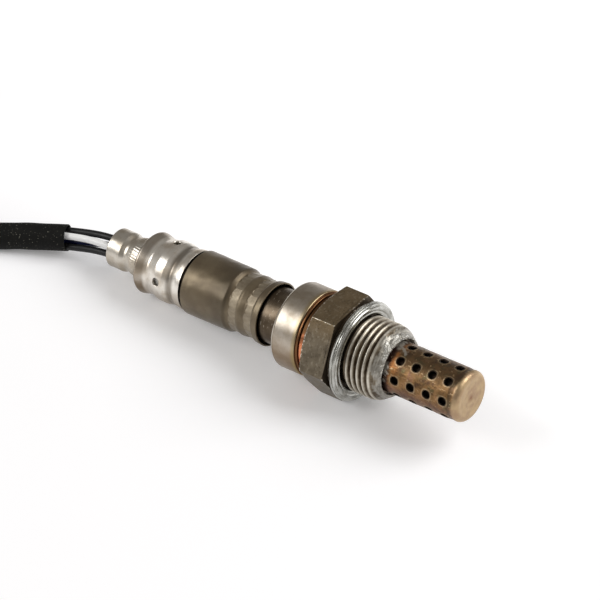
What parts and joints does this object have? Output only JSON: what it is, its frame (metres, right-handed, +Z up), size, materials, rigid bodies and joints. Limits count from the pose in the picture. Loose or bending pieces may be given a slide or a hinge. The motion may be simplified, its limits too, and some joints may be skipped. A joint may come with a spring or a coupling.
{
  "type": "oxygen sensor",
  "caption": "Heated exhaust oxygen sensor with a perforated protection tube, threaded hexagon body, sealing ring, crimped metal cases and a black cable with a plug.",
  "frame": {"origin": "on the floor under the middle of the sensor without its cable and plug, as it lies on a flat floor", "axes": "+X along the sensor towards the perforated tip, which points about 4 degrees up; +Z up; the cable leaves towards -X"},
  "size_m": [0.2667, 0.0499, 0.0237],
  "materials": {
    "dark_steel": "heat-darkened steel, satin",
    "bright_steel": "bright folded steel, slightly worn",
    "tinted_steel": "stainless tinted bronze by exhaust heat",
    "inner_steel": "stainless, heat-darkened",
    "zirconia": "fired white ceramic",
    "alumina": "fired white ceramic",
    "washer_steel": "plain steel",
    "talc": "pressed powder, matt",
    "case_steel": "heat-darkened stainless, satin",
    "copper": "bright copper",
    "satin_steel": "satin stainless with a straw tint",
    "olive_steel": "satin stainless with a dark olive heat tint",
    "cover_steel": "bright drawn stainless",
    "white_filter": "white porous plastic",
    "black_rubber": "black rubber",
    "terminal_metal": "plated strip",
    "black_insulation": "black wire insulation",
    "white_insulation": "white wire insulation",
    "blue_insulation": "dark blue wire insulation",
    "black_sheath": "matt black cable sheath",
    "grey_plastic": "dark grey moulded plastic",
    "pale_plastic": "pale moulded plastic"
  },
  "bodies": {
    "root": {"housing": "dark_steel", "gasket": "bright_steel", "outer_protection_tube": "tinted_steel", "inner_protection_tube": "inner_steel", "sensing_element": "zirconia", "heater_rod": "alumina", "seat_washer": "washer_steel", "talc_seal": "talc", "insulator_ring": "alumina", "packing_ring": "washer_steel", "inner_case": "case_steel", "copper_ring": "copper", "collar": "satin_steel", "outer_sleeve": "olive_steel", "rear_cover": "cover_steel", "breather_filter": "white_filter", "grommet": "black_rubber", "terminal_separator": "alumina", "terminal_holder": "alumina", "spring_washer": "washer_steel", "heater_terminals": "terminal_metal", "signal_terminal": "terminal_metal", "ground_terminal": "terminal_metal", "black_wire_a": "black_insulation", "black_wire_b": "black_insulation", "white_wire": "white_insulation", "blue_wire": "blue_insulation", "cable_sheath": "black_sheath", "plug_boot": "black_rubber", "plug_housing": "grey_plastic", "plug_lock": "pale_plastic", "plug_pins": "terminal_metal"}
  },
  "joints": []
}
